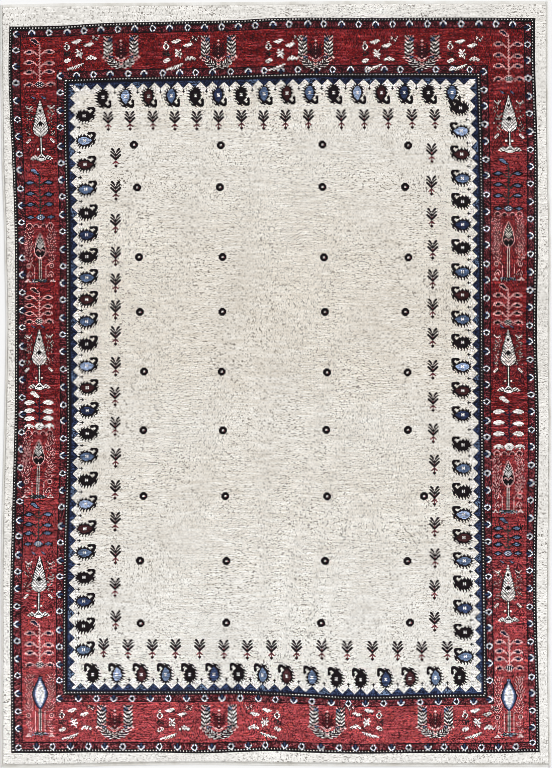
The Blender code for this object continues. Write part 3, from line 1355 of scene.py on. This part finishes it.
def knotted_wool(name, back=False):
    """Wool pile, or the back of the same knots, coloured by the chart that the mesh carries."""
    wool = Nodes(name, roughness=0.92, sheen=0.06)
    uv = wool.add("ShaderNodeUVMap", uv_map="knots").outputs["UV"]
    split = wool.add("ShaderNodeSeparateXYZ")
    wool.feed(split.inputs[0], uv)
    across, along = split.outputs["X"], split.outputs["Y"]
    column = wool.maths("FLOOR", across)
    row = wool.maths("FLOOR", along)
    number = yarn_number(wool, column, row)
    share = wool.maths("DIVIDE", number, float(2**LAYERS))
    deep = wool.ramp(share, yarn_stops("deep"), stepped=True)
    pale = wool.ramp(share, yarn_stops("pale"), stepped=True)
    cream = wool.maths("LESS_THAN", number, 2.0)

    apart = wool.maths("MULTIPLY", row, ROW_APART)
    streak = wool.noise(wool.point(wool.maths("MULTIPLY", column, STREAK_SCALE), apart), 1.0, 3.0, 0.7)
    frayed = wool.maths("ADD", wool.maths("DIVIDE", along, float(ROWS)), wool.range(streak, -FRAY, FRAY))
    tone = wool.mix(cream, wool.ramp(frayed, greys(DYE_BANDS)), wool.ramp(frayed, greys(CREAM_BANDS)))
    uneven = wool.maths("SUBTRACT", wool.maths("MULTIPLY", streak, LOT_SPREAD), LOT_SPREAD / 2)
    lot = wool.maths("ADD", tone, uneven, clamp=True)
    colour = wool.mix(lot, deep, pale)

    short = wool.noise(wool.point(wool.maths("MULTIPLY", column, DASH_SCALE), apart), 1.0, 2.0, 0.6)
    clouds = wool.noise(uv, CLOUD_SCALE, 3.0, 0.6)
    dashes = wool.maths("MULTIPLY", wool.maths("SUBTRACT", short, DASH_EDGE), 12.0, clamp=True)
    fleck = wool.maths("MULTIPLY", wool.maths("MULTIPLY", dashes, cream), wool.range(clouds, 0.10, 1.2))
    colour = wool.mix(fleck, colour, (*linear(FLECK), 1.0))

    single = wool.white(wool.point(column, row))
    spread_of_knots = cream_or_colours(wool, cream, KNOT_CONTRAST)
    brightness = wool.maths("MULTIPLY_ADD", wool.maths("SUBTRACT", single, 0.55), spread_of_knots, 1.0)
    streaks = wool.maths("ADD", wool.maths("SUBTRACT", short, 0.5), wool.maths("SUBTRACT", streak, 0.5))
    depth_of_streaks = cream_or_colours(wool, cream, STREAK_CONTRAST)
    streaked = wool.maths("MULTIPLY_ADD", streaks, depth_of_streaks, 1.0)
    brightness = wool.maths("MULTIPLY", brightness, streaked)
    brightness = wool.maths("MULTIPLY", brightness, wool.range(clouds, 0.92, 1.06))
    wool.tree.links.new(wool.scaled(colour, brightness), wool.shader.inputs["Base Color"])

    knots_across = 2.0 if back else 1.0
    inner_column = wool.maths("SUBTRACT", wool.maths(
        "FRACT", wool.maths("MULTIPLY", across, knots_across)), 0.5)
    inner_row = wool.maths("SUBTRACT", wool.maths("FRACT", along), 0.5)
    squared = wool.maths("ADD", wool.maths("MULTIPLY", inner_column, inner_column),
                         wool.maths("MULTIPLY", inner_row, inner_row))
    dome = wool.maths("MULTIPLY_ADD", squared, -3.0, 1.0)
    fibres = wool.noise(uv, FIBRE_SCALE, 4.0, 0.75)
    height = wool.maths("MULTIPLY_ADD", fibres, 0.3 if back else 0.8, wool.maths("MULTIPLY", dome, 0.6))
    height = wool.maths("MULTIPLY_ADD", single, 0.7, height)
    wool.bump(height, PILE_RELIEF, 0.5)
    return wool.material


pile.data.materials.clear()
pile.data.materials.append(knotted_wool("knotted_wool_pile"))
foundation.data.materials.clear()
foundation.data.materials.append(knotted_wool("knotted_wool_back", back=True))
print("materials", [material.name for material in bpy.data.materials])

# %% [markdown]
# ## Flat-woven ends
#
# Before the first row of knots and after the last, the weaver left a narrow strip of plain
# weave. Its wefts are beaten down so hard that they hide the warps and show as fine ribs.

# %% Make the flat-woven ends
WEB_TOP = 0.0029
WEB_SINK = 0.0007
RIB_HEIGHT = 0.00045
WEFT_PITCH = 0.55
WARP_PITCH = 1.25
WEB_UNDER_PILE = 0.25


def weave_height(across, along):
    """Ribs of weft that pass over one warp and under the next."""
    weft = np.sin(math.pi * along / WEFT_PITCH)
    warp = np.cos(math.pi * across / WARP_PITCH + math.pi * np.floor(along / WEFT_PITCH))
    return WEB_TOP - WEB_SINK + RIB_HEIGHT * np.abs(weft) * (0.4 + 0.6 * warp)


def web(name, low, high):
    """A closed strip of plain weave between two rows."""
    columns = np.arange(CLOTH_LEFT, CLOTH_RIGHT, WARP_PITCH / 2)
    columns = np.append(columns[:-1], CLOTH_RIGHT)
    rows = np.linspace(low, high, round((high - low) / (WEFT_PITCH / 3)))
    strip = knot_grid(name, columns, rows, weave_height)
    close_down_to(strip, 0.0)
    return strip


def cream_yarn(name, relief=0.0003):
    """Undyed wool, a little grey in places, with fine fibres."""
    yarn = Nodes(name, roughness=0.9, sheen=0.25)
    place = yarn.add("ShaderNodeTexCoord").outputs["Object"]
    tint = yarn.noise(place, 14.0, 4.0, 0.6)
    strand = yarn.noise(place, 420.0, 3.0, 0.7)
    colour = yarn.ramp(tint, [(0.3, linear((222, 219, 212))), (0.5, linear((236, 234, 229))),
                              (0.72, linear((243, 242, 239)))])
    yarn.feed(yarn.shader.inputs["Base Color"], yarn.scaled(colour, yarn.range(strand, 0.86, 1.08)))
    yarn.bump(strand, relief, 0.5)
    return yarn.material


web_wool = cream_yarn("flat_woven_wool")
web_far = web("flat_woven_end_far", RUG_FAR, PILE_FAR + WEB_UNDER_PILE)
web_near = web("flat_woven_end_near", PILE_NEAR - WEB_UNDER_PILE, RUG_NEAR)
for strip in (web_far, web_near):
    strip.data.materials.clear()
    strip.data.materials.append(web_wool)
    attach(strip, "root")
    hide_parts("knotted_rug")
print("faces in each end", len(web_far.data.polygons))

# %% [markdown]
# ## Wrapped side cords
#
# Each side is finished with wool wound round and round a bundle of warps. The windings are
# real here: one long helix of yarn on a curve that follows the rug's edge, with a bevel for
# its thickness, made a mesh at the end.

# %% Wind the side cords
YARN_RADIUS = 0.0011
TURN_PITCH = 0.00235
STEPS_PER_TURN = 9
CORD_FROM_CLOTH = 1.2
CORE_STEPS = 160


def edge_line(side, rows):
    """Middle of a side cord, in metres, at each row."""
    column = CLOTH_LEFT - CORD_FROM_CLOTH if side < 0 else CLOTH_RIGHT + CORD_FROM_CLOTH
    across, along = strayed(np.full_like(rows, column), rows)
    x, y = to_metres(across, along)
    return x, y


def curve_to_mesh(name, points, radius, resolution):
    """A bevelled poly curve, made a mesh whose ends are closed."""
    curve = bpy.data.curves.new(name, "CURVE")
    curve.dimensions = "3D"
    curve.bevel_depth = radius
    curve.bevel_resolution = resolution
    curve.use_fill_caps = True
    spline = curve.splines.new("POLY")
    spline.points.add(len(points) - 1)
    spline.points.foreach_set("co", np.column_stack([points, np.ones(len(points))]).ravel())
    cord = bpy.data.objects.new(name, curve)
    bpy.context.scene.collection.objects.link(cord)
    deselect_all()
    bpy.context.view_layer.objects.active = cord
    cord.select_set(True)
    bpy.ops.object.convert(target="MESH")
    cord = bpy.context.active_object
    bpy.ops.object.mode_set(mode="EDIT")
    bpy.ops.mesh.select_all(action="SELECT")
    bpy.ops.mesh.remove_doubles(threshold=0.00001)
    bpy.ops.mesh.normals_make_consistent(inside=False)
    bpy.ops.object.mode_set(mode="OBJECT")
    bpy.ops.object.shade_smooth()
    return cord


def wound_cord(name, side):
    """The helix of yarn along one side."""
    radius = SIDE_CORD / 2 - YARN_RADIUS
    turns = 2 * HALF_LENGTH / TURN_PITCH
    turn = np.linspace(0, turns, int(turns * STEPS_PER_TURN))
    rows = np.linspace(RUG_FAR + 0.4, RUG_NEAR - 0.4, len(turn))
    x, y = edge_line(side, rows)
    lumps = 0.93 + 0.04 * np.sin(turn * 0.37) + 0.03 * np.sin(turn * 1.9)
    points = np.column_stack([
        x + radius * np.cos(math.tau * turn),
        y,
        SIDE_CORD / 2 + radius * lumps * np.sin(math.tau * turn),
    ])
    return curve_to_mesh(name, points, YARN_RADIUS, 1)


def cord_core(name, side):
    """The bundle of warps inside the windings."""
    rows = np.linspace(RUG_FAR + 0.1, RUG_NEAR - 0.1, CORE_STEPS)
    x, y = edge_line(side, rows)
    points = np.column_stack([x, y, np.full_like(x, SIDE_CORD / 2)])
    return curve_to_mesh(name, points, SIDE_CORD / 2 - YARN_RADIUS, 3)


cord_wool = cream_yarn("side_cord_wool", relief=0.0004)
for side, word in ((-1, "left"), (1, "right")):
    for piece in (wound_cord(f"side_wrapping_{word}", side), cord_core(f"side_warps_{word}", side)):
        piece.data.materials.clear()
        piece.data.materials.append(cord_wool)
        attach(piece, "root")
        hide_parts(f"side_cord_{word}")
        print(piece.name, "faces", len(piece.data.polygons))

# %% [markdown]
# ## Tufts at the rim
#
# Where the pile ends, the cut ends of its knots stand free and lean outwards. One small
# tapered tuft for each knot of the outermost rows makes that rim rough and soft instead of
# cut off. They are joined in one mesh.

# %% Make the rim of tufts
TUFT_SIDES = 4
TUFT_WIDTH = 0.0015
TUFT_LEAN = 0.0016
TUFT_PITCH = 0.92
TUFT_INSETS = (0.25, 0.95)


def tuft_ring(centres, widths, height, turn):
    """Corners of one level of every tuft."""
    levels = []
    for side in range(TUFT_SIDES):
        angle = turn + math.tau * side / TUFT_SIDES
        levels.append(np.column_stack([
            centres[:, 0] + widths * np.cos(angle), centres[:, 1] + widths * np.sin(angle), height]))
    return levels


def rim_tufts(name, across, along, outward):
    """A joined mesh of one tuft for each place, leaning outwards."""
    count = len(across)
    x, y = to_metres(*strayed(across, along))
    root = np.column_stack([x, y])
    lean = outward * (TUFT_LEAN * dice.uniform(0.6, 1.3, (count, 1)))
    stray = dice.normal(0, 0.0004, (count, 2))
    turn = dice.uniform(0, math.tau, count)
    tall = dice.uniform(0.0070, 0.0086, count)
    wide = TUFT_WIDTH * dice.uniform(0.85, 1.2, count)
    levels = (
        tuft_ring(root, wide * 0.8, np.full(count, PILE_BASE), turn)
        + tuft_ring(root + lean * 0.6 + stray * 0.5, wide, tall * 0.62, turn)
        + tuft_ring(root + lean + stray, wide * 0.62, tall, turn)
    )
    corners = np.stack(levels, axis=1).reshape(-1, 3)
    template = []
    for level in range(2):
        for side in range(TUFT_SIDES):
            low = level * TUFT_SIDES + side
            beside_it = level * TUFT_SIDES + (side + 1) % TUFT_SIDES
            template.append((low, beside_it, beside_it + TUFT_SIDES, low + TUFT_SIDES))
    template.append(tuple(range(2 * TUFT_SIDES, 3 * TUFT_SIDES)))
    template.append(tuple(reversed(range(TUFT_SIDES))))
    step = 3 * TUFT_SIDES
    faces = [
        tuple(step * number + corner for corner in face)
        for number in range(count) for face in template
    ]
    mesh = bpy.data.meshes.new(name)
    mesh.from_pydata(corners.tolist(), [], faces)
    tufts = bpy.data.objects.new(name, mesh)
    bpy.context.scene.collection.objects.link(tufts)
    mesh.shade_smooth()
    return tufts


def tuft_places():
    """Places and outward directions of the tufts along all four edges of the pile."""
    across, along, outward = [], [], []
    for inset in TUFT_INSETS:
        columns = np.arange(CLOTH_LEFT + 0.4, CLOTH_RIGHT - 0.3, TUFT_PITCH)
        rows = np.arange(PILE_FAR + 0.4, PILE_NEAR - 0.3, TUFT_PITCH)
        for edge, way in ((PILE_FAR + inset, 1), (PILE_NEAR - inset, -1)):
            across.append(columns)
            along.append(np.full_like(columns, edge))
            outward.append(np.tile([0.0, float(way)], (len(columns), 1)))
        for edge, way in ((CLOTH_LEFT + inset, -1), (CLOTH_RIGHT - inset, 1)):
            across.append(np.full_like(rows, edge))
            along.append(rows)
            outward.append(np.tile([float(way) * 0.4, 0.0], (len(rows), 1)))
    return np.concatenate(across), np.concatenate(along), np.concatenate(outward)


tufts = rim_tufts("rim_tufts", *tuft_places())
tufts.data.materials.append(cream_yarn("rim_tuft_wool"))
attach(tufts, "root")
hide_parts("knotted_rug")
print("tufts", len(tufts.data.polygons) // (2 * TUFT_SIDES + 2))

# %% [markdown]
# The pile and the foundation are one cloth, which lies flat, so its flat size is the size
# that it lies in.

# %% [markdown]
# ## Floor, light and camera
#
# The rug was photographed from straight above on white, with even light. A soft sun-like
# lamp from one side is enough to bring out the pile, and a white sky fills the rest. The
# camera is far away with a long lens, so that the rug's sides don't draw together.

# %% Floor
deselect_all()
bpy.ops.mesh.primitive_plane_add(size=12, location=(0, 0, -0.0002))
floor = bpy.context.active_object
floor.name = "studio_floor"
paper = Nodes("studio_paper", roughness=0.9, sheen=0.0)
grain = paper.noise(paper.add("ShaderNodeTexCoord").outputs["Object"], 3.0, 2.0)
paper.feed(paper.shader.inputs["Base Color"], paper.ramp(grain, [(0.0, (0.93,) * 3), (1.0, (0.95,) * 3)]))
floor.data.materials.append(paper.material)

# %% Light
SKY_STRENGTH = 0.72
SUN_STRENGTH = 1.25
SUN_SOFTNESS = math.radians(25)
SUN_TURN = (math.radians(-38), math.radians(26), 0)

scene = bpy.context.scene
scene.view_settings.view_transform = "Standard"
scene.cycles.filter_width = 0.85
world = bpy.data.worlds.new("studio")
scene.world = world
world.use_nodes = True
world.node_tree.nodes["Background"].inputs["Color"].default_value = (1.0, 1.0, 1.0, 1.0)
world.node_tree.nodes["Background"].inputs["Strength"].default_value = SKY_STRENGTH

bpy.ops.object.light_add(type="SUN", location=(2.0, 3.0, 4.0))
key_light = bpy.context.active_object
key_light.name = "soft_key_light"
key_light.data.energy = SUN_STRENGTH
key_light.data.angle = SUN_SOFTNESS
key_light.rotation_euler = SUN_TURN

# %% Camera
FRAME_WIDTH = 552
FRAME_HEIGHT = 768
LENS = 250.0
SENSOR = 36.0
camera_data = bpy.data.cameras.new("overhead")
camera_data.lens = LENS
camera_data.sensor_width = SENSOR
camera_data.clip_end = 100.0
camera = bpy.data.objects.new("overhead", camera_data)
scene.collection.objects.link(camera)
camera_height = FRAME_HEIGHT * KNOT * LENS / SENSOR + PILE_TOP
camera.location = ((FRAME_WIDTH / 2 - MIDDLE_COLUMN) * KNOT, 0.0, camera_height)
scene.camera = camera
print("camera height", round(camera_height, 2))
